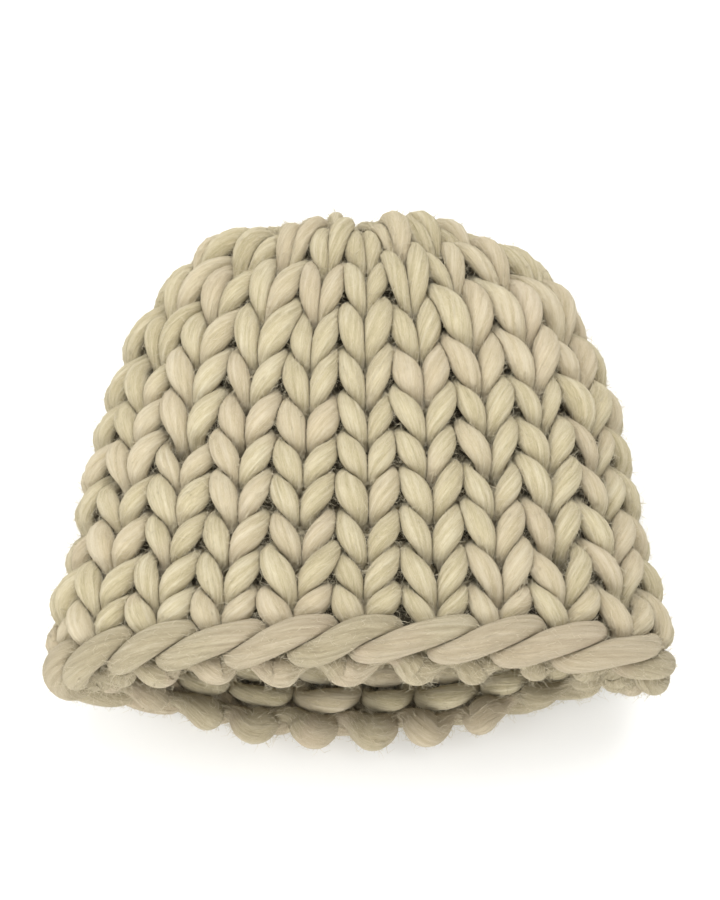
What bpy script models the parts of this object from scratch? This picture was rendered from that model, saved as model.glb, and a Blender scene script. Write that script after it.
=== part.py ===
"""Chunky hand-knit wool beanie, lying on its back with the brim edge towards -Y.

Metres, +Z up, +Y from the head opening to the crown, origin under the middle of the hat on
the surface it lies on. The fabric is stocking stitch worked in the round: one cast-on edge,
eleven knit rounds of twenty-two stitches and the yarn that gathers the last round shut.
"""
import math

import bpy
from mathutils import Vector

# Overall sizes of the hat as it lies
BRIM_WIDTH = 0.2440        # across the brim, over the yarn
LENGTH = 0.2040            # brim edge to the top of the crown, over the yarn
LYING_HEIGHT = 0.1150      # thickness of the soft tube before the table flattens it
TABLE_FLAT = 0.0012        # how far the table pushes the underside in

# Fabric
WALL = 0.0210              # two strands of yarn lie over each other in every stitch
DRAWN_WALL = 0.090 * LYING_HEIGHT    # wall left where the crown is drawn tight
DRAWN_FROM = 0.72          # share of the fabric's length where that starts
CAST_ON_WALL = 0.0230      # the edge loops stand a little proud
GATHER_DIAMETER = 0.0088   # the same yarn, thinner where it is drawn tight
GATHER_OUTWARD = 0.0030    # it lies a little outside the middle of the wall
GATHER_GAP = 0.0013        # clearance to the last round, whose inner edge is bent
STITCHES = 22
CAST_ON_HEIGHT = 0.0140
ROUND_HEIGHTS = (
    0.0155,
    0.0155,
    0.0155,
    0.0155,
    0.0155,
    0.0160,
    0.0180,
    0.0210,
    0.0230,
    0.0230,
    0.0180,
)
EDGE_CHAMFER = 0.0035      # each round of stitches swells between its neighbours
GAP = 0.0004               # clearance between neighbouring rounds

# How far the soft brim leaves one plane
SIDE_PULL = 0.0050         # the folded sides ride up towards the crown
BACK_DROP = 0.0035         # the underside reaches further out than the front
BACK_RIGHT_PULL = 0.0240   # the corners of the underside sit further in, the right one most
BACK_LEFT_PULL = 0.0180
PULL_FADE = 0.0500         # distance over which that dies away

# Where the gathered crown settles, off the middle of the hat
GATHER_SIDE = -0.0105
GATHER_RISE = 0.074 * LYING_HEIGHT

# Shape of the middle of the wall: share of length, of half width and of half height
PROFILE = (
    (0.010, 0.900, 0.957),
    (0.110, 0.996, 0.968),
    (0.312, 0.932, 0.989),
    (0.526, 0.876, 1.011),
    (0.686, 0.815, 1.010),
    (0.818, 0.735, 0.985),
    (0.910, 0.640, 0.910),
    (0.968, 0.525, 0.780),
    (0.990, 0.405, 0.610),
    (0.982, 0.280, 0.445),
    (0.954, 0.170, 0.300),
)
SQUARENESS = 0.5           # how much fuller than an ellipse the lower sections are

GATHER_STARTS = 5.5        # row of PROFILE, counted from 0, where that begins to show
ROUND_FROM = 9.0           # row of PROFILE where the sections have become ellipses
STITCH_ROW = 3.0           # row of PROFILE where the stitches are evenly wide

# How finely the shapes are drawn
AROUND = 2 * STITCHES      # sections in each ring
ALONG = 120                # steps from the brim to the gather
FINE_ALONG = 400
FINE_AROUND = 1440
YARN_SIDES = 10

HALF_WIDTH = (BRIM_WIDTH - WALL) / 2
HALF_HEIGHT = (LYING_HEIGHT - WALL) / 2
MIDDLE_LENGTH = LENGTH - WALL / 2
AXIS_HEIGHT = LYING_HEIGHT / 2 - TABLE_FLAT


def clear_scene():
    for obj in list(bpy.data.objects):
        bpy.data.objects.remove(obj, do_unlink=True)


def between(values, place):
    """Catmull-Rom value of a list at a fractional index."""
    last = len(values) - 1
    index = min(int(place), last - 1)
    t = place - index
    before = values[max(index - 1, 0)]
    start = values[index]
    end = values[index + 1]
    after = values[min(index + 2, last)]
    slope_in = (end - before) / 2
    slope_out = (after - start) / 2
    return (
        start * (1 + 2 * t) * (1 - t) ** 2
        + slope_in * t * (1 - t) ** 2
        + end * t * t * (3 - 2 * t)
        - slope_out * t * t * (1 - t)
    )


def signed_power(value, power):
    return math.copysign(abs(value) ** power, value)


def raw_point(place, angle):
    """A point on the middle of the wall, at a place along PROFILE and an angle round the hat."""
    last = len(PROFILE) - 1
    along = between([row[0] for row in PROFILE], place) * MIDDLE_LENGTH
    wide = between([row[1] for row in PROFILE], place) * HALF_WIDTH
    high = between([row[2] for row in PROFILE], place) * HALF_HEIGHT
    fullness = 2 + SQUARENESS * max(0.0, 1 - (place / ROUND_FROM) ** 2)
    side = math.cos(angle)
    under = max(0.0, -math.sin(angle))
    pull = SIDE_PULL * side ** 2 - BACK_DROP * under ** 2
    pull += under * side ** 2 * (BACK_RIGHT_PULL if side > 0 else BACK_LEFT_PULL)
    pull *= math.exp(-((along / PULL_FADE) ** 2))
    drawn = max(0.0, (place - GATHER_STARTS) / (last - GATHER_STARTS)) ** 3
    return Vector(
        (
            GATHER_SIDE * drawn + wide * signed_power(side, 2 / fullness),
            along + pull,
            AXIS_HEIGHT + GATHER_RISE * drawn + high * signed_power(math.sin(angle), 2 / fullness),
        )
    )


def spaced_angles():
    """Angles that put the stitch columns at even distances round the body."""
    angles = [2 * math.pi * i / FINE_AROUND for i in range(FINE_AROUND + 1)]
    points = [raw_point(STITCH_ROW, angle) for angle in angles]
    lengths = [0.0]
    for first, second in zip(points, points[1:]):
        lengths.append(lengths[-1] + (second - first).length)
    found = []
    index = 0
    for column in range(AROUND):
        wanted = lengths[-1] * column / AROUND
        while lengths[index + 1] < wanted:
            index += 1
        share = (wanted - lengths[index]) / (lengths[index + 1] - lengths[index])
        found.append(angles[index] + share * (angles[index + 1] - angles[index]))
    return found


def meridian(angle):
    """Points from the brim to the gather at one angle, evenly spaced along the fabric."""
    last = len(PROFILE) - 1
    fine = [raw_point(last * i / FINE_ALONG, angle) for i in range(FINE_ALONG + 1)]
    lengths = [0.0]
    for first, second in zip(fine, fine[1:]):
        lengths.append(lengths[-1] + (second - first).length)
    found = []
    index = 0
    for step in range(ALONG + 1):
        wanted = lengths[-1] * step / ALONG
        while index < FINE_ALONG - 1 and lengths[index + 1] < wanted:
            index += 1
        share = (wanted - lengths[index]) / (lengths[index + 1] - lengths[index])
        found.append(fine[index].lerp(fine[index + 1], share))
    return found


def fabric():
    """The middle surface of the fabric and its outward normals, as columns of points."""
    columns = [meridian(angle) for angle in spaced_angles()]
    normals = []
    for i, column in enumerate(columns):
        left = columns[i - 1]
        right = columns[(i + 1) % AROUND]
        row = []
        for j in range(ALONG + 1):
            up = column[min(j + 1, ALONG)] - column[max(j - 1, 0)]
            across = right[j] - left[j]
            row.append(up.cross(across).normalized())
        normals.append(row)
    return columns, normals


def at_share(column, share):
    place = min(max(share, 0.0), 1.0) * ALONG
    index = min(int(place), ALONG - 1)
    return column[index].lerp(column[index + 1], place - index)


def wall_share(share):
    """How much of the wall is left at a share of the fabric's length."""
    return 1 - (1 - DRAWN_WALL / WALL) * max(0.0, (share - DRAWN_FROM) / (1 - DRAWN_FROM))


def wool_material(name, colour, roughness):
    material = bpy.data.materials.new(name)
    material.use_nodes = True
    shader = material.node_tree.nodes["Principled BSDF"]
    shader.inputs["Base Color"].default_value = (*colour, 1.0)
    shader.inputs["Roughness"].default_value = roughness
    shader.inputs["Metallic"].default_value = 0.0
    material.diffuse_color = (*colour, 1.0)
    return material


def solid_from_loops(name, loops, material):
    """A closed ring of the given cross-sections as one object centred on its own middle."""
    sides = len(loops[0])
    points = [point for loop in loops for point in loop]
    centre = sum(points, Vector()) / len(points)
    faces = []
    for i in range(len(loops)):
        here = i * sides
        there = (i + 1) % len(loops) * sides
        for k in range(sides):
            after = (k + 1) % sides
            corners = (here + k, here + after, there + after, there + k)
            if after == 0:
                # The first end face splits the same way as the neighbour's last one
                corners = corners[1:] + corners[:1]
            faces.append((corners[0], corners[1], corners[2]))
            faces.append((corners[0], corners[2], corners[3]))
    mesh = bpy.data.meshes.new(name)
    mesh.from_pydata([point - centre for point in points], [], faces)
    mesh.shade_smooth()
    mesh.materials.append(material)
    obj = bpy.data.objects.new(name, mesh)
    obj.location = centre
    bpy.context.scene.collection.objects.link(obj)
    return obj


def round_section(half, chamfer, reach):
    """Corners of one round's section: share of the way along it, and height off the middle."""
    return (
        (0.0, half - chamfer),
        (reach, half),
        (1.0 - reach, half),
        (1.0, half - chamfer),
        (1.0, chamfer - half),
        (1.0 - reach, -half),
        (reach, -half),
        (0.0, chamfer - half),
    )


def knit_round(name, start, end, total, wall, material, surface):
    """One round of stitches, from start to end along the fabric."""
    columns, normals = surface
    reach = EDGE_CHAMFER / (end - start)
    loops = []
    for column, normal in zip(columns, normals):
        loop = []
        for share, height in round_section(wall / 2, EDGE_CHAMFER, reach):
            along = (start + share * (end - start)) / total
            point = at_share(column, along)
            point += at_share(normal, along).normalized() * height * wall_share(along)
            if share in (0.0, 1.0):
                onward = at_share(column, along + 0.01) - at_share(column, along - 0.01)
                point += onward.normalized() * GAP * (0.5 - share)
            point.z = max(point.z, 0.0)
            loop.append(point)
        loops.append(loop)
    return solid_from_loops(name, loops, material)


def gathering_yarn(name, material, surface):
    """The end of the yarn, drawn through the last loops and pulled tight."""
    columns, normals = surface
    radius = GATHER_DIAMETER / 2
    ends = [column[ALONG] for column in columns[::2]]
    loops = []
    for i, outward in enumerate(normals[::2]):
        onward = ends[(i + 1) % len(ends)] - ends[i - 1]
        inward = onward.cross(outward[ALONG]).normalized()
        normal = onward.cross(inward).normalized()
        centre = ends[i] + inward * (radius + GATHER_GAP) + outward[ALONG] * GATHER_OUTWARD
        loop = []
        for k in range(YARN_SIDES):
            turn = 2 * math.pi * k / YARN_SIDES
            loop.append(centre + inward * radius * math.cos(turn) + normal * radius * math.sin(turn))
        loops.append(loop)
    return solid_from_loops(name, loops, material)


def centre_on_table(objects):
    """Puts the middle of the hat's length over the origin."""
    bpy.context.view_layer.update()
    along = [(obj.matrix_world @ v.co).y for obj in objects for v in obj.data.vertices]
    middle = (min(along) + max(along)) / 2
    for obj in objects:
        obj.location.y -= middle


def build():
    clear_scene()
    surface = fabric()
    total = CAST_ON_HEIGHT + sum(ROUND_HEIGHTS)
    edge_wool = wool_material("natural_wool_cast_on", (0.640, 0.560, 0.410), 0.92)
    body_wool = wool_material("natural_wool_knit", (0.660, 0.585, 0.430), 0.92)
    gather_wool = wool_material("natural_wool_gathering_yarn", (0.620, 0.545, 0.400), 0.92)
    objects = [
        knit_round("cast_on_edge", 0.0, CAST_ON_HEIGHT, total, CAST_ON_WALL, edge_wool, surface)
    ]
    start = CAST_ON_HEIGHT
    for number, height in enumerate(ROUND_HEIGHTS, 1):
        name = f"knit_round_{number:02d}"
        objects.append(knit_round(name, start, start + height, total, WALL, body_wool, surface))
        start += height
    objects.append(gathering_yarn("gathering_yarn", gather_wool, surface))
    centre_on_table(objects)


build()
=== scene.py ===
import math

import bpy
import numpy as np
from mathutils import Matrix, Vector
from mathutils.kdtree import KDTree


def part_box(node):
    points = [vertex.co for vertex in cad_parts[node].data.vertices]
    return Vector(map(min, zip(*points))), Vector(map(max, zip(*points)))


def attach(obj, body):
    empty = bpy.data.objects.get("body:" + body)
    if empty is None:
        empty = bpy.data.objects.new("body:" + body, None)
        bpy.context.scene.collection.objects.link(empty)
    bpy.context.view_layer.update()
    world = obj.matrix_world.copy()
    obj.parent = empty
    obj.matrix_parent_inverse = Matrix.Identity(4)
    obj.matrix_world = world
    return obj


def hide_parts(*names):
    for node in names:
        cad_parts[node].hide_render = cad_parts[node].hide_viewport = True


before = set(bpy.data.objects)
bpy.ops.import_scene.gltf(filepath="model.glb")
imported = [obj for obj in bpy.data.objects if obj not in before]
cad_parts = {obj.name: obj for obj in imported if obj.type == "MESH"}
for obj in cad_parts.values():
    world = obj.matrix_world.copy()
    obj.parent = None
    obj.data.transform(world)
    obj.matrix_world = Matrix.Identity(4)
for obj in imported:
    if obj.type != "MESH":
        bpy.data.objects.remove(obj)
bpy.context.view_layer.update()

rng = np.random.default_rng(20)

# The fabric of the hat as it lies on its back, in metres
hat = dict(
    stitches=22,
    brimWidth=.2440,
    length=.1958,
    lyingHeight=.1150,
    wall=.0210,
    tableFlat=.0012,
    castOn=.0140,
    rounds=(.0155, .0155, .0155, .0155, .0155, .0160, .0180, .0210, .0230, .0230, .0180),
    sidePull=.0025,     # the folded sides ride up towards the crown
    backDrop=.0035,     # the underside reaches further out than the front
    backRight=.0215,    # but its corners sit further in
    backLeft=.0150,
    pullFade=.0500,
    squareness=.5,
    gatherSide=-.0105,  # where the gathered crown settles, off the middle
    gatherRise=.0085,
    turn=.10,           # how far the columns are turned round, in stitches
    gridAround=480,
    gridAlong=360,
)
# middle of the wall from brim to gather: share of length, of half width and of half height
profile = np.array((
    (.010, .900, .957), (.110, .996, .968), (.312, .932, .989), (.526, .876, 1.011),
    (.686, .815, 1.010), (.818, .735, .985), (.910, .640, .910), (.968, .525, .780),
    (.990, .405, .610), (.982, .280, .445), (.954, .170, .300)))


def spline(rows, place):
    last = len(rows) - 1
    i = np.clip(place.astype(int), 0, last - 1)
    t = (place - i)[..., None]
    a, b = rows[np.maximum(i - 1, 0)], rows[i]
    c, d = rows[i + 1], rows[np.minimum(i + 2, last)]
    return (b * (1 + 2 * t) * (1 - t) ** 2 + (c - a) / 2 * t * (1 - t) ** 2
            + c * t * t * (3 - 2 * t) - (d - b) / 2 * t * t * (1 - t))


# Points of the middle surface at a row of the profile and an angle round the hat
def rawSurface(place, angle):
    rows = spline(profile, place)
    half = (hat["brimWidth"] - hat["wall"]) / 2
    high = (hat["lyingHeight"] - hat["wall"]) / 2
    along = rows[..., 0] * (hat["length"] - hat["wall"] / 2)
    full = 2 / (2 + hat["squareness"] * np.clip(1 - (place / 9) ** 2, 0, 1))
    c, s = np.cos(angle), np.sin(angle)
    pull = hat["sidePull"] * c ** 2 - hat["backDrop"] * np.clip(-s, 0, 1) ** 2
    under = np.clip(-s, 0, 1) * c ** 2 * np.where(c > 0, hat["backRight"], hat["backLeft"])
    pull = (pull + under) * np.exp(-(along / hat["pullFade"]) ** 2)
    drawn = np.clip((place - 5.5) / 4.5, 0, 1) ** 3
    return np.stack([
        drawn * hat["gatherSide"] + rows[..., 1] * half * np.sign(c) * np.abs(c) ** full,
        along + pull,
        hat["lyingHeight"] / 2 - hat["tableFlat"] + drawn * hat["gatherRise"]
        + rows[..., 2] * high * np.sign(s) * np.abs(s) ** full], -1)


def alongLine(points):
    steps = np.linalg.norm(np.diff(points, axis=0), axis=1)
    return np.concatenate([[0], np.cumsum(steps)])


# A grid with even stitches round the body and even steps up every column
def makeSurface():
    fine = np.linspace(0, 2 * math.pi, 4001)
    line = alongLine(rawSurface(np.full_like(fine, 3.0), fine))
    angles = np.interp(np.arange(hat["gridAround"]) / hat["gridAround"] * line[-1], line, fine)
    place = np.linspace(0, 10, 800)
    grid = np.empty((hat["gridAround"], hat["gridAlong"] + 1, 3))
    for i, angle in enumerate(angles):
        points = rawSurface(place, np.full_like(place, angle))
        line = alongLine(points)
        wanted = np.linspace(0, line[-1], hat["gridAlong"] + 1)
        for k in range(3):
            grid[i, :, k] = np.interp(wanted, line, points[:, k])
    around = np.roll(grid, -1, 0) - np.roll(grid, 1, 0)
    up = np.gradient(grid, axis=1)
    normal = np.cross(up, around)
    normal /= np.linalg.norm(normal, axis=-1, keepdims=True)
    return grid, normal


surface, surfaceNormal = makeSurface()
fabricLength = hat["castOn"] + sum(hat["rounds"])
stations = np.concatenate([[0, hat["castOn"]], hat["castOn"] + np.cumsum(hat["rounds"])])
stations = stations / stations[-1]
cadLow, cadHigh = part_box("cast_on_edge"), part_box("knit_round_11")
shiftY = -(surface[..., 1].min() + surface[..., 1].max()) / 2
print("fabric surface", surface.shape, "from", cadLow, "to", cadHigh)


# Points at u stitches round, v rounds up from the cast-on and n metres outwards
def onFabric(u, v, n):
    share = np.interp(v, np.arange(len(stations)) - 1, stations)
    low = np.minimum(v + 1, 0) * (stations[1] - stations[0])
    x = (-(u + hat["turn"]) / hat["stitches"] % 1) * hat["gridAround"]
    y = np.clip(share, 0, 1) * hat["gridAlong"]
    i, j = x.astype(int) % hat["gridAround"], np.clip(y.astype(int), 0, hat["gridAlong"] - 1)
    a, b = (x % 1)[..., None], (y - j)[..., None]
    k = (i + 1) % hat["gridAround"]

    def mix(g):
        return ((g[i, j] * (1 - a) + g[k, j] * a) * (1 - b)
                + (g[i, j + 1] * (1 - a) + g[k, j + 1] * a) * b)

    place, normal = mix(surface), mix(surfaceNormal)
    normal = normal / np.linalg.norm(normal, axis=-1, keepdims=True)
    up = surface[i, 1] - surface[i, 0]
    up = up / np.linalg.norm(up, axis=-1, keepdims=True)
    place = place + up * (low * fabricLength)[..., None]   # past the edge of the surface
    return place + normal * np.asarray(n)[..., None]


yarn = dict(
    radius=.0051,
    steps=24,            # path points in each stitch
    rings=40,            # rings of the mesh in each stitch
    sides=22,
    lean=.300,           # how far the legs of a stitch lean out, in stitch widths
    reach=.93,           # half the height of a loop, in rounds
    depth=.0054,
    uneven=.075,
    squeeze=.88,         # how far two strands press into each other
    settleRounds=24,
    spin=90,             # mm for one turn of the yarn's twist
)


# Closed noise with a knot every so many points
def smoothNoise(count, every, amount):
    knots = rng.normal(0, amount, max(count // every, 3))
    x = np.arange(count) / count * len(knots)
    i = x.astype(int)
    t = x - i
    t = t * t * (3 - 2 * t)
    return knots[i % len(knots)] * (1 - t) + knots[(i + 1) % len(knots)] * t


# One random value for each stitch, eased from one stitch to the next
def perStitch(amount, steps):
    n = hat["stitches"]
    values = rng.normal(0, amount, n)
    x = np.arange(n * steps) / steps - .5
    i = np.floor(x).astype(int)
    t = np.clip((x - i - .5) * 4 + .5, 0, 1)
    t = t * t * (3 - 2 * t)
    return values[i % n] * (1 - t) + values[(i + 1) % n] * t


# One round of stocking stitch as u, v, n and radius: every loop goes up, over and down again
def knitLoops(centre, low, high):
    steps = yarn["steps"]
    count = hat["stitches"] * steps
    t = np.arange(count) / steps * 2 * math.pi
    lean = yarn["lean"] * (1 + perStitch(.10, steps))
    u = t / (2 * math.pi) + lean * np.sin(2 * t) + perStitch(yarn["uneven"] * .7, steps)
    v = centre - np.where(np.cos(t) > 0, low, high) * np.cos(t) + perStitch(yarn["uneven"], steps)
    c = np.cos(2 * t)
    n = -yarn["depth"] * c + perStitch(.0005, steps)
    squash = np.where(c < 0, 1.0, .85)     # the yarn is fullest in the legs
    radius = yarn["radius"] * (.62 + .38 * c ** 2 * squash) * (1 + perStitch(.08, steps))
    radius *= 1 + smoothNoise(count, 9, .05)
    return u, v, n, radius


# Moves a strand's first point half a stitch on, to where the strand is tucked in
def startHidden(strand, steps):
    return [np.roll(values, -steps // 2) for values in strand]


# The rope of slanted strands along the brim: each turn goes out over the edge and back
rope = dict(steps=20, slant=.46, up=-.12, rise=.31, out=.0030, swing=.0042, shift=.22)


def castOnRope():
    steps = rope["steps"]
    t = np.arange(hat["stitches"] * steps) / steps * 2 * math.pi
    u = t / (2 * math.pi) + rope["slant"] * np.sin(t) + perStitch(.05, steps) + rope["shift"]
    v = rope["up"] + rope["rise"] * np.sin(t + .10) + perStitch(.04, steps)
    n = rope["out"] + rope["swing"] * np.cos(t) + perStitch(.0004, steps)
    radius = yarn["radius"] * (.86 + .22 * np.cos(t)) * (1 + perStitch(.06, steps))
    return startHidden((u, v, n, radius), steps)


# The row of fat bumps under the rope, thin where it is tucked in between them
bumps = dict(steps=16, up=-.44, drop=.24, backDrop=.26, inwards=.0012, belly=.0038,
             thin=.54, fat=.74, backFat=.16, cornerThin=.30)


def castOnBumps():
    steps = bumps["steps"]
    t = np.arange(hat["stitches"] * steps) / steps * 2 * math.pi
    fat = .5 + .5 * np.cos(t)
    u = t / (2 * math.pi) - .07 * np.sin(t) + perStitch(.06, steps) + rope["shift"]
    way = u / hat["stitches"] * 2 * math.pi
    back, corner = np.clip(np.sin(way), 0, 1), np.cos(way) ** 8
    v = bumps["up"] - (bumps["drop"] + bumps["backDrop"] * back) * fat + perStitch(.05, steps)
    n = -bumps["inwards"] - bumps["belly"] * fat + perStitch(.0006, steps)
    swell = bumps["fat"] + bumps["backFat"] * back - bumps["cornerThin"] * corner
    radius = yarn["radius"] * (bumps["thin"] + swell * fat ** .8) * (1 + perStitch(.08, steps))
    return startHidden((u, v, n, radius), steps)


def makeStrands():
    strands = [("castOnBumps", "cast_on_edge", castOnBumps()),
               ("castOnRope", "cast_on_edge", castOnRope())]
    for k in range(1, 12):
        high = yarn["reach"] if k < 11 else .52     # the last loops hang on the gathering yarn
        low = yarn["reach"] if k > 1 else .74
        strands.append((f"round{k:02d}", f"knit_round_{k:02d}", knitLoops(k - .5, low, high)))
    return strands


# The last rounds draw in towards one pinch near the top of the front
crown = dict(
    pinch=16.55,         # stitches round
    drawFrom=7,          # rounds up
    drawOver=3.4,
    draw=.20,
    dip=.0050,
    lobe=-.0028,
    folds=7,
    fold=.0008,
    thinFrom=8.2,
    thinOver=2.8,
    thin=.30,
)
# The yarn's end, drawn through the last loops, and the small turn that closes the hole
gather = dict(points=120, radius=.0047, inset=.0065, sunk=.003, wobble=.0008,
              knotRadius=.0050, knotWide=.0062, knotHigh=.0024, knotSunk=.004)


# Puts every strand on the fabric, thinner where the crown draws together
def placeStrands(strands):
    placed = []
    half = hat["stitches"] / 2
    for name, node, (u, v, n, radius) in strands:
        near = np.clip((v - crown["thinFrom"]) / crown["thinOver"], 0, 1)
        radius = radius * (1 - crown["thin"] * near ** 1.5)
        off = (u - crown["pinch"] + half) % hat["stitches"] - half
        late = np.clip((v - crown["drawFrom"]) / crown["drawOver"], 0, 1)
        late = late * late * (3 - 2 * late)
        dip = np.exp(-(off / .9) ** 2)
        lobes = np.exp(-((off - 2.6) / 1.3) ** 2) + .8 * np.exp(-((off + 2.4) / 1.2) ** 2)
        fold = np.cos(2 * math.pi * u * crown["folds"] / hat["stitches"] + .6)
        n = n + late * (crown["lobe"] * lobes - crown["dip"] * dip) + near ** 2 * crown["fold"] * fold
        u = u - crown["draw"] * late * off * np.exp(-(off / 3.2) ** 2)
        points = onFabric(u, v, n)
        middle = onFabric(u, v, n * 0)
        out = (onFabric(u, v, n * 0 + .001) - middle) * 1000
        middle[:, 1] += shiftY
        placed.append(dict(name=name, node=node, points=points, radius=radius,
                           middle=middle, out=out))
    placed += gatherStrands()
    for strand in placed:
        strand["points"][:, 1] += shiftY
    print("strands placed", len(placed))
    return placed


def gatherStrands():
    count = gather["points"]
    ring = np.arange(count) / count * 2 * math.pi
    centre = surface[:, -1].mean(0)
    size = (surface[:, -1].max(0) - surface[:, -1].min(0)) / 2 - gather["inset"]
    wobble = smoothNoise(count, 20, gather["wobble"])
    end = np.stack([centre[0] + (size[0] + wobble) * np.cos(ring),
                    centre[1] - gather["sunk"] + smoothNoise(count, 20, gather["wobble"]),
                    centre[2] + (size[2] + wobble) * np.sin(ring)], -1)
    ring = ring[::2]
    knot = np.stack([centre[0] + gather["knotWide"] * np.cos(ring),
                     centre[1] - gather["knotSunk"] + .0010 * np.sin(2 * ring),
                     centre[2] + gather["knotHigh"] * np.sin(ring)], -1)
    return [dict(name="gather", node="gathering_yarn", points=end,
                 radius=np.full(count, gather["radius"])),
            dict(name="knot", node="gathering_yarn", points=knot,
                 radius=np.full(count // 2, gather["knotRadius"]))]


# Pairs of path points that lie near each other but not next to each other on a strand
def neighbours(points, strandOf, indexOf, countOf, reach):
    tree = KDTree(len(points))
    for i, p in enumerate(points):
        tree.insert(p, i)
    tree.balance()
    first, second = [], []
    for i, p in enumerate(points):
        for _, k, _ in tree.find_range(p, reach):
            if k <= i:
                continue
            if strandOf[i] == strandOf[k]:
                apart = abs(indexOf[i] - indexOf[k])
                if min(apart, countOf[i] - apart) < 7:
                    continue
            first.append(i)
            second.append(k)
    return np.array(first), np.array(second)


# Pushes the strands apart until they press only a little into each other, and keeps their run
def settle(placed):
    points = np.concatenate([s["points"] for s in placed])
    radius = np.concatenate([s["radius"] for s in placed])
    strandOf = np.concatenate([np.full(len(s["points"]), i) for i, s in enumerate(placed)])
    indexOf = np.concatenate([np.arange(len(s["points"])) for s in placed])
    countOf = np.concatenate([np.full(len(s["points"]), len(s["points"])) for s in placed])
    starts = np.cumsum([0] + [len(s["points"]) for s in placed])
    rest = points.copy()
    for step in range(yarn["settleRounds"]):
        if step % 15 == 0:
            a, b = neighbours(points, strandOf, indexOf, countOf, .0165)
        apart = points[b] - points[a]
        gap = np.linalg.norm(apart, axis=1)
        push = np.clip((radius[a] + radius[b]) * yarn["squeeze"] - gap, 0, None)
        move = apart / np.maximum(gap, 1e-6)[:, None] * (push * .5)[:, None]
        total = np.zeros_like(points)
        hits = np.zeros(len(points))
        np.add.at(total, a, -move)
        np.add.at(total, b, move)
        np.add.at(hits, a, push > 0)
        np.add.at(hits, b, push > 0)
        points = points + total / np.maximum(hits, 1)[:, None] * 1.4
        shift = points - rest
        for i in range(len(placed)):
            part = slice(starts[i], starts[i + 1])
            d = shift[part]
            shift[part] = d * .5 + (np.roll(d, 1, 0) + np.roll(d, -1, 0)) / 2 * .5
        points = rest + shift * .985
        points[:, 2] = np.maximum(points[:, 2], radius * .92)    # the table holds it up
    for i, s in enumerate(placed):
        s["points"] = points[starts[i]:starts[i + 1]]
    print("settled", len(points), "path points, largest move mm",
          round(float(np.linalg.norm(points - rest, axis=1).max() * 1000), 2))


# Smooth closed curve through the path's points
def resample(values, count):
    n = len(values)
    x = np.arange(count) / count * n
    i = x.astype(int)
    t = x - i
    if values.ndim > 1:
        t = t[:, None]
    a, b, c, d = (values[(i + k) % n] for k in (-1, 0, 1, 2))
    return .5 * (2 * b + (c - a) * t + (2 * a - 5 * b + 4 * c - d) * t * t
                 + (3 * b - a - 3 * c + d) * t ** 3)


# Tangent and two cross directions at each point, with the leftover turn spread evenly
def frames(points):
    n = len(points)
    tangent = np.roll(points, -1, 0) - np.roll(points, 1, 0)
    tangent /= np.linalg.norm(tangent, axis=1, keepdims=True)
    side = np.empty_like(points)
    start = np.cross(tangent[0], (0, 0, 1.0))
    side[0] = start / np.linalg.norm(start)
    for i in range(1, n + 1):
        s = side[i - 1] - tangent[i % n] * side[i - 1].dot(tangent[i % n])
        s /= np.linalg.norm(s)
        if i < n:
            side[i] = s
    other = np.cross(tangent, side)
    miss = math.atan2(s.dot(other[0]), s.dot(side[0]))
    turn = -miss * np.arange(n) / n
    c, q = np.cos(turn)[:, None], np.sin(turn)[:, None]
    return tangent, side * c + other * q, other * c - side * q


# How far each point of each ring may swell before it meets a neighbouring strand
def swellRings(strands):
    points = np.concatenate([s["fine"] for s in strands])
    radius = np.concatenate([s["fineRadius"] for s in strands])
    owner = np.concatenate([np.full(len(s["fine"]), i) for i, s in enumerate(strands)])
    tree = KDTree(len(points))
    for i, p in enumerate(points):
        tree.insert(p, i)
    tree.balance()
    sides = yarn["sides"]
    angle = np.arange(sides) / sides * 2 * math.pi
    base = 0
    for number, s in enumerate(strands):
        count = len(s["fine"])
        way = (s["side"][:, None] * np.cos(angle)[None, :, None]
               + s["other"][:, None] * np.sin(angle)[None, :, None])
        size = np.repeat(s["fineRadius"][:, None], sides, 1)
        skip = int(.0165 / s["step"])
        for i in range(count):
            near = [k for _, k, _ in tree.find_range(s["fine"][i], .0135)
                    if owner[k] != number
                    or min(abs(k - base - i), count - abs(k - base - i)) > skip]
            if not near:
                continue
            d = points[near] - s["fine"][i]
            across = way[i] @ d.T
            level = (d * d).sum(1) + s["fineRadius"][i] ** 2 - radius[near] ** 2
            limit = level[None] / np.maximum(2 * across, 1e-9)
            limit[across <= 1e-6] = 1
            size[i] = np.minimum(size[i], np.clip(limit.min(1) - .00006, .0009, None))
        s["way"], s["size"] = way, size
        base += count


# Eases the corners of the pressed faces a little along and round the strand
def relax(size, times):
    for _ in range(times):
        around = (np.roll(size, 1, 1) + np.roll(size, -1, 1)) / 2
        along = (np.roll(size, 1, 0) + np.roll(size, -1, 0)) / 2
        size = np.minimum(size, size * .4 + around * .3 + along * .3)
    return size


def soften(values, times):
    values = np.clip(values, 0, 1)
    for _ in range(times):
        values = (values * 2 + np.roll(values, 1, 1) + np.roll(values, -1, 1)
                  + np.roll(values, 1, 0) + np.roll(values, -1, 0)) / 6
    return values


# 1 where a strand's surface can only be seen through a gap between the stitches; the material paints
# shade there
def howDeep(s):
    if not s["node"].startswith("knit"):
        return s["size"] * 0
    rings = len(s["fine"])
    out = resample(s["out"], rings)
    rise = ((s["fine"] - resample(s["middle"], rings)) * out).sum(1)
    facing = (s["way"] * out[:, None]).sum(-1)
    height = (rise[:, None] + s["size"] * facing) * np.sign(facing)
    return np.clip((.0022 - height) / .0030, 0, 1) * np.clip(np.abs(facing) * 2.5, 0, 1)


def linear(hexCode):
    parts = [int(hexCode[i:i + 2], 16) / 255 for i in (1, 3, 5)]
    return [c / 12.92 if c <= .04045 else ((c + .055) / 1.055) ** 2.4 for c in parts] + [1]


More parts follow.
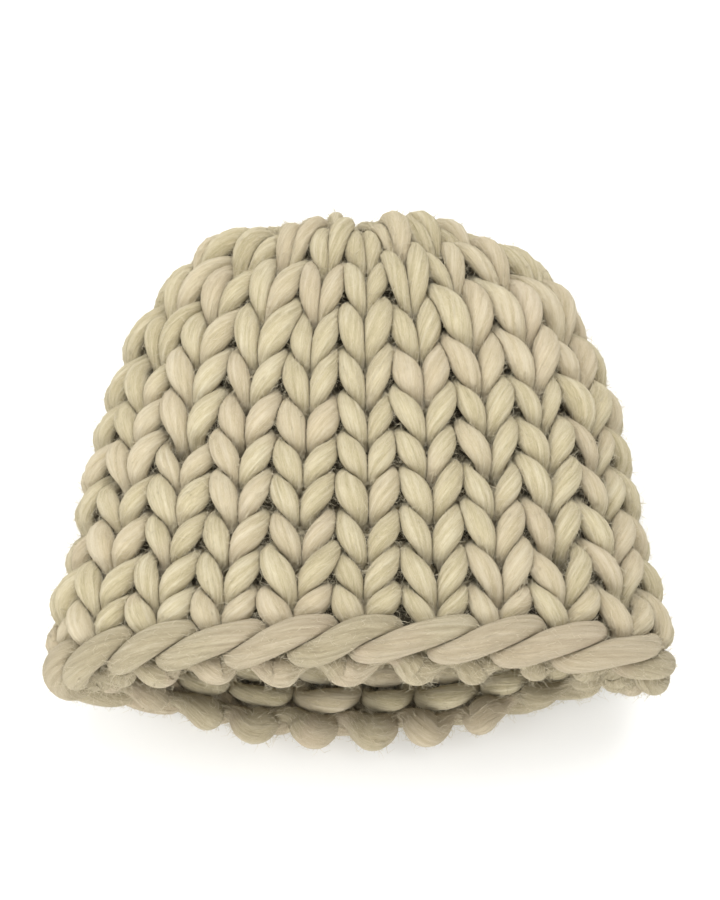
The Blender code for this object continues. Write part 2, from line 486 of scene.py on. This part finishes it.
def addNode(tree, kind, settings=None, links=None, inputs=None):
    node = tree.nodes.new(kind)
    for key, value in (settings or {}).items():
        setattr(node, key, value)
    for key, value in (inputs or {}).items():
        node.inputs[key].default_value = value
    for key, socket in (links or {}).items():
        tree.links.new(socket, node.inputs[key])
    return node


wool = dict(
    body=("#A49875", "#C4B897", "#DAD1B7"),      # dull, middle and light
    edge=("#8F8469", "#AB9F83", "#C1B79D"),      # a darker, greyer copy for the brim: painted shade, as the brim faces away from the lights
    blush="#BFA996",     # a slightly pinker cast in patches
    creaseShade="#85765A",    # painted shade where two strands press together
    gapShade="#3B3327",    # painted shade at the bottoms of the gaps between stitches
    sheen=.25,
)


# Loosely spun, undyed roving: fine fibres run along the twist, so it looks soft and matt
def spunWool(name, shades):
    material = bpy.data.materials.new(name)
    material.use_nodes = True
    tree = material.node_tree
    tree.nodes.clear()
    fibre = addNode(tree, "ShaderNodeAttribute", {"attribute_name": "fibre"})
    tone = addNode(tree, "ShaderNodeAttribute", {"attribute_name": "tone"})
    # fibre is in mm across and mm/7 along, so every pattern is drawn out along the fibres
    wander = addNode(tree, "ShaderNodeTexNoise", links={"Vector": fibre.outputs["Vector"]},
                     inputs={"Scale": .45, "Detail": 2, "Roughness": .6})
    bent = addNode(tree, "ShaderNodeVectorMath", {"operation": "MULTIPLY_ADD"},
                   {0: wander.outputs["Color"], 2: fibre.outputs["Vector"]}, {1: (1.6, 1.6, 1.6)})
    # single fibres are .03 mm thick, so they are drawn in wisps of about .3 mm
    streaks = addNode(tree, "ShaderNodeTexNoise", links={"Vector": bent.outputs[0]},
                      inputs={"Scale": 4.2, "Detail": 4, "Roughness": .75})
    # a second set of wisps lies across the first at a slant, as the spin is loose
    parts = addNode(tree, "ShaderNodeSeparateXYZ", links={0: bent.outputs[0]})
    slant = addNode(tree, "ShaderNodeMath", {"operation": "MULTIPLY"},
                    {0: parts.outputs["Z"]}, {1: .62})
    turned = addNode(tree, "ShaderNodeVectorRotate", {"rotation_type": "Z_AXIS"},
                     {"Vector": bent.outputs[0], "Angle": slant.outputs[0]})
    crossing = addNode(tree, "ShaderNodeTexNoise", links={"Vector": turned.outputs[0]},
                       inputs={"Scale": 3.6, "Detail": 5, "Roughness": .8})
    wisps = addNode(tree, "ShaderNodeMath", {"operation": "MULTIPLY_ADD"},
                    {0: crossing.outputs["Fac"], 2: streaks.outputs["Fac"]}, {1: .8})
    # thicker and thinner locks, a few mm across
    clumps = addNode(tree, "ShaderNodeTexNoise", links={"Vector": bent.outputs[0]},
                     inputs={"Scale": .55, "Detail": 3, "Roughness": .55})
    mixed = addNode(tree, "ShaderNodeMath", {"operation": "MULTIPLY_ADD"},
                    {0: wisps.outputs[0], 2: clumps.outputs["Fac"]}, {1: .75})
    shifted = addNode(tree, "ShaderNodeMath", {"operation": "MULTIPLY_ADD"},
                      {0: tone.outputs["Fac"], 2: mixed.outputs[0]}, {1: .09})
    spread = addNode(tree, "ShaderNodeMapRange", links={0: shifted.outputs[0]},
                     inputs={1: .82, 2: 1.53, 3: 0, 4: 1})
    blend = addNode(tree, "ShaderNodeValToRGB", links={0: spread.outputs[0]})
    blend.color_ramp.elements.new(.5)
    for k, element in enumerate(blend.color_ramp.elements):
        element.position = k / (len(shades) - 1)
        element.color = linear(shades[k])
    patches = addNode(tree, "ShaderNodeTexNoise", {"noise_dimensions": "1D"},
                      {"W": tone.outputs["Fac"]}, {"Scale": 1.1, "Detail": 1})
    blush = addNode(tree, "ShaderNodeMapRange", links={0: patches.outputs["Fac"]},
                    inputs={1: .52, 2: .75, 3: 0, 4: .45})
    # painted shade in the creases: darker the more a strand is pressed flat by its neighbours
    creaseShade = addNode(tree, "ShaderNodeAttribute", {"attribute_name": "creaseShade"})
    creaseShadeShare = addNode(tree, "ShaderNodeMapRange", links={0: creaseShade.outputs["Fac"]},
                      inputs={1: .10, 2: .60, 3: 0, 4: .50})
    deep = addNode(tree, "ShaderNodeAttribute", {"attribute_name": "deep"})
    # painted shade on strand surfaces that lie deep in the gaps between stitches
    gapShadeShare = addNode(tree, "ShaderNodeMapRange", links={0: deep.outputs["Fac"]},
                     inputs={1: .25, 2: .95, 3: 0, 4: .85})
    # a pinker cast in patches, then painted shade in the creases, then painted shade at the bottoms of
    # the gaps
    colour = blend.outputs["Color"]
    for share, tint in ((blush, "blush"), (creaseShadeShare, "creaseShade"), (gapShadeShare, "gapShade")):
        tinted = addNode(tree, "ShaderNodeMix", {"data_type": "RGBA"},
                         {0: share.outputs[0], 6: colour}, {7: linear(wool[tint])})
        colour = tinted.outputs[2]
    bump = addNode(tree, "ShaderNodeBump", links={"Height": wisps.outputs[0]},
                   inputs={"Strength": .8, "Distance": .0007})
    swell = addNode(tree, "ShaderNodeBump", links={"Height": clumps.outputs["Fac"],
                                                   "Normal": bump.outputs["Normal"]},
                    inputs={"Strength": .5, "Distance": .0012})
    shader = addNode(tree, "ShaderNodeBsdfPrincipled",
                     links={"Base Color": colour, "Normal": swell.outputs["Normal"]},
                     inputs={"Roughness": .95, "Specular IOR Level": .12, "Sheen Weight": wool["sheen"],
                             "Sheen Roughness": .5, "Sheen Tint": linear("#FFF7E4")})
    addNode(tree, "ShaderNodeOutputMaterial", links={"Surface": shader.outputs[0]})
    return material


# One closed tube for each strand of this piece of the hat, joined in one mesh
def yarnMesh(node, strands, material):
    verts, faces, fibres, tones, creaseShadeValues, deeps = [], [], [], [], [], []
    base = 0
    for s in strands:
        count, sides = s["size"].shape
        points = s["fine"][:, None] + s["way"] * s["size"][..., None]
        points[..., 2] = np.maximum(points[..., 2], .0003)
        verts.append(points.reshape(-1, 3))
        i = np.arange(count)[:, None]
        k = np.arange(sides)[None]
        a = base + i * sides + k
        b = base + i * sides + (k + 1) % sides
        c = base + (i + 1) % count * sides + (k + 1) % sides
        d = base + (i + 1) % count * sides + k
        faces.append(np.stack([a, b, c, d], -1).reshape(-1, 4))
        along = np.arange(count) * s["step"] * 1000
        turn = np.arange(sides)[None] / sides * 2 * math.pi
        turn = turn - (along / yarn["spin"] * 2 * math.pi)[:, None]
        fibre = np.stack([np.cos(turn) * 5.8, np.sin(turn) * 5.8,
                          np.repeat(along[:, None] / 7, sides, 1) + s["seed"]], -1)
        fibres.append(fibre.reshape(-1, 3))
        tones.append(np.repeat(s["tone"], sides))
        creaseShadeValues.append(s["creaseShade"].reshape(-1))
        deeps.append(s["deep"].reshape(-1))
        base += count * sides
    verts, faces = np.concatenate(verts), np.concatenate(faces)
    mesh = bpy.data.meshes.new(f"{node}_yarn")
    mesh.vertices.add(len(verts))
    mesh.vertices.foreach_set("co", verts.astype(np.float32).ravel())
    mesh.loops.add(len(faces) * 4)
    mesh.loops.foreach_set("vertex_index", faces.astype(np.int32).ravel())
    mesh.polygons.add(len(faces))
    mesh.polygons.foreach_set("loop_start", (np.arange(len(faces)) * 4).astype(np.int32))
    mesh.update()
    mesh.shade_smooth()
    layer = mesh.attributes.new("fibre", "FLOAT_VECTOR", "POINT")
    layer.data.foreach_set("vector", np.concatenate(fibres).astype(np.float32).ravel())
    for key, values in (("tone", tones), ("creaseShade", creaseShadeValues), ("deep", deeps)):
        layer = mesh.attributes.new(key, "FLOAT", "POINT")
        layer.data.foreach_set("value", np.concatenate(values).astype(np.float32))
    mesh.materials.append(material)
    piece = bpy.data.objects.new(mesh.name, mesh)
    bpy.context.scene.collection.objects.link(piece)
    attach(piece, "root")
    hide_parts(node)


fuzz = dict(
    each=11500,          # loose fibres on each round
    edge=13000,          # and on the cast-on edge
    gather=150,
    length=.0035,
    thick=.00008,        # a wisp of several fibres: single ones are far too thin to show
    lift=.75,            # how steeply a fibre leaves the yarn
    curl=.9,
    colour="#D2C8AE",
)


# Loose ends of combed fibre standing off the yarn: plain pale wool that softens every outline
def looseWool():
    material = bpy.data.materials.new("loose_wool_fibres")
    material.use_nodes = True
    shader = material.node_tree.nodes["Principled BSDF"]
    shader.inputs["Base Color"].default_value = linear(fuzz["colour"])
    shader.inputs["Roughness"].default_value = .9
    shader.inputs["Specular IOR Level"].default_value = .15
    return material


# Where loose fibres start on the exposed side of the strands, and the ways out and along there
def fibreRoots(strands, count):
    starts, outs, alongs = [], [], []
    for s in strands:
        ring, side = np.nonzero(s["size"] > s["fineRadius"][:, None] * .93)
        share = count * len(s["fine"]) // sum(len(t["fine"]) for t in strands)
        pick = rng.integers(0, len(ring), share)
        ring, side = ring[pick], side[pick]
        way = s["way"][ring, side]
        starts.append(s["fine"][ring] + way * (s["size"][ring, side] * .985)[:, None])
        outs.append(way)
        tangent = s["tangent"][ring]
        alongs.append(tangent + np.cross(tangent, way) * .4)
    return [np.concatenate(x) for x in (starts, outs, alongs)]


# Thin closed threads with three sides, which taper and curl back towards the yarn
def fuzzMesh(node, strands, count, material):
    start, out, along = fibreRoots(strands, count)
    n = len(start)
    along = along * rng.choice((-1, 1), n)[:, None] + rng.normal(0, .45, (n, 3))
    along /= np.linalg.norm(along, axis=1, keepdims=True)
    length = fuzz["length"] * np.clip(rng.lognormal(0, .45, n), .3, 2.0)
    lift = fuzz["lift"] * np.abs(rng.normal(.6, .7, n))
    curl = rng.normal(0, fuzz["curl"], (n, 3))
    steps = 2
    line = np.empty((n, steps + 1, 3))
    line[:, 0] = start
    for k in range(steps):
        share = k / (steps - 1)
        way = along + out * (lift * (1.5 - 2.2 * share))[:, None] + curl * share
        way /= np.linalg.norm(way, axis=1, keepdims=True)
        line[:, k + 1] = line[:, k] + way * (length / steps)[:, None]
    line[..., 2] = np.maximum(line[..., 2], .0004)
    across = np.cross(along, out)
    across /= np.linalg.norm(across, axis=1, keepdims=True)
    other = np.cross(along, across)
    taper = fuzz["thick"] * (1 - .7 * np.arange(steps + 1) / steps)
    angle = np.arange(3) / 3 * 2 * math.pi
    ring = (across[:, None] * np.cos(angle)[None, :, None]
            + other[:, None] * np.sin(angle)[None, :, None])
    verts = (line[:, :, None] + ring[:, None] * taper[None, :, None, None]).reshape(-1, 3)
    base = np.arange(n)[:, None, None] * (steps + 1) * 3
    i, k = np.arange(steps)[None, :, None] * 3, np.arange(3)[None, None]
    a, b = base + i + k, base + i + (k + 1) % 3
    sides = np.stack([a, b, b + 3, a + 3], -1).reshape(-1, 4)
    first = base[:, 0] + np.array((2, 1, 0))
    last = base[:, 0] + steps * 3 + np.array((0, 1, 2))
    mesh = bpy.data.meshes.new(f"{node}_fuzz")
    mesh.from_pydata(verts, [], sides.tolist() + first.tolist() + last.tolist())
    mesh.shade_smooth()
    mesh.materials.append(material)
    piece = bpy.data.objects.new(mesh.name, mesh)
    bpy.context.scene.collection.objects.link(piece)
    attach(piece, "root")


# Rings of every strand, pressed flat where strands meet, with the values its material reads
def shapeStrands(placed):
    for s in placed:
        rings = hat["stitches"] * yarn["rings"]
        if s["node"] == "gathering_yarn":
            rings = 160
        s["fine"] = resample(s["points"], rings)
        s["fineRadius"] = resample(s["radius"], rings)
        s["tangent"], s["side"], s["other"] = frames(s["fine"])
        s["step"] = alongLine(s["fine"])[-1] / (rings - 1)
        s["seed"] = rng.uniform(0, 500)
        s["tone"] = smoothNoise(rings, 30, .5)
    swellRings(placed)
    for s in placed:
        s["size"] = relax(s["size"], 6 if s["name"] == "castOnBumps" else 2)
        # how much painted shade each crease gets: how far the strand is pressed flat there
        s["creaseShade"] = soften(1 - s["size"] / s["fineRadius"][:, None], 3)
        # where the gaps get painted shade
        s["deep"] = soften(howDeep(s), 2)
    print("yarn rings", sum(len(s["fine"]) for s in placed))


def buildHat():
    placed = placeStrands(makeStrands())
    settle(placed)
    shapeStrands(placed)
    woolKnit = spunWool("spun_undyed_wool", wool["body"])
    # the brim gets a darker copy of the same wool: painted shade
    woolBrimShaded = spunWool("spun_wool_brim_painted_shade", wool["edge"])
    loose = looseWool()
    counts = {"cast_on_edge": fuzz["edge"], "gathering_yarn": fuzz["gather"]}
    for node in sorted({s["node"] for s in placed}):
        strands = [s for s in placed if s["node"] == node]
        yarnMesh(node, strands, woolBrimShaded if node == "cast_on_edge" else woolKnit)
        fuzzMesh(node, strands, counts.get(node, fuzz["each"]), loose)
        print("built", node)


stage = dict(
    floorSize=6,
    floor="#F4F4F2",
    sky=.80,
    # name, place, size in metres and watts
    lamps=(("softboxTop", (.1, .45, 1.2), 1.0, 12),
           ("softboxLeft", (-.9, -.2, 1.0), .8, 5),
           ("softboxLow", (-.1, -1.3, .55), .8, 12)),
)


def makeStage():
    bpy.ops.mesh.primitive_plane_add(size=stage["floorSize"], location=(0, 0, 0))
    floor = bpy.context.object
    floor.name = "floor"
    paper = bpy.data.materials.new("matt_white_paper")     # plain, so only the soft shadow shows
    paper.use_nodes = True
    shader = paper.node_tree.nodes["Principled BSDF"]
    shader.inputs["Base Color"].default_value = linear(stage["floor"])
    shader.inputs["Roughness"].default_value = .95
    shader.inputs["Specular IOR Level"].default_value = .1
    floor.data.materials.append(paper)
    world = bpy.context.scene.world or bpy.data.worlds.new("World")
    bpy.context.scene.world = world
    world.use_nodes = True
    world.node_tree.nodes["Background"].inputs["Color"].default_value = linear("#FFFFFF")
    world.node_tree.nodes["Background"].inputs["Strength"].default_value = stage["sky"]
    for name, place, size, power in stage["lamps"]:
        data = bpy.data.lights.new(name, "AREA")
        data.size, data.energy = size, power
        lamp = bpy.data.objects.new(name, data)
        lamp.location = place
        lamp.rotation_euler = (Vector((0, 0, .05)) - Vector(place)).to_track_quat("-Z", "Y").to_euler()
        bpy.context.scene.collection.objects.link(lamp)


view = dict(elevation=70, distance=.80, target=(0, .0125, .058), lens=80)


def makeCamera():
    data = bpy.data.cameras.new("camera")
    camera = bpy.data.objects.new("camera", data)
    bpy.context.scene.collection.objects.link(camera)
    e = math.radians(view["elevation"])
    target = Vector(view["target"])
    camera.location = target + Vector((0, -math.cos(e), math.sin(e))) * view["distance"]
    camera.rotation_euler = (target - camera.location).to_track_quat("-Z", "Y").to_euler()
    data.sensor_fit = "VERTICAL"
    data.sensor_height = 36
    data.lens = view["lens"]
    bpy.context.scene.camera = camera


buildHat()
makeStage()
makeCamera()
bpy.context.scene.view_settings.view_transform = "Standard"
print("stage and camera set")
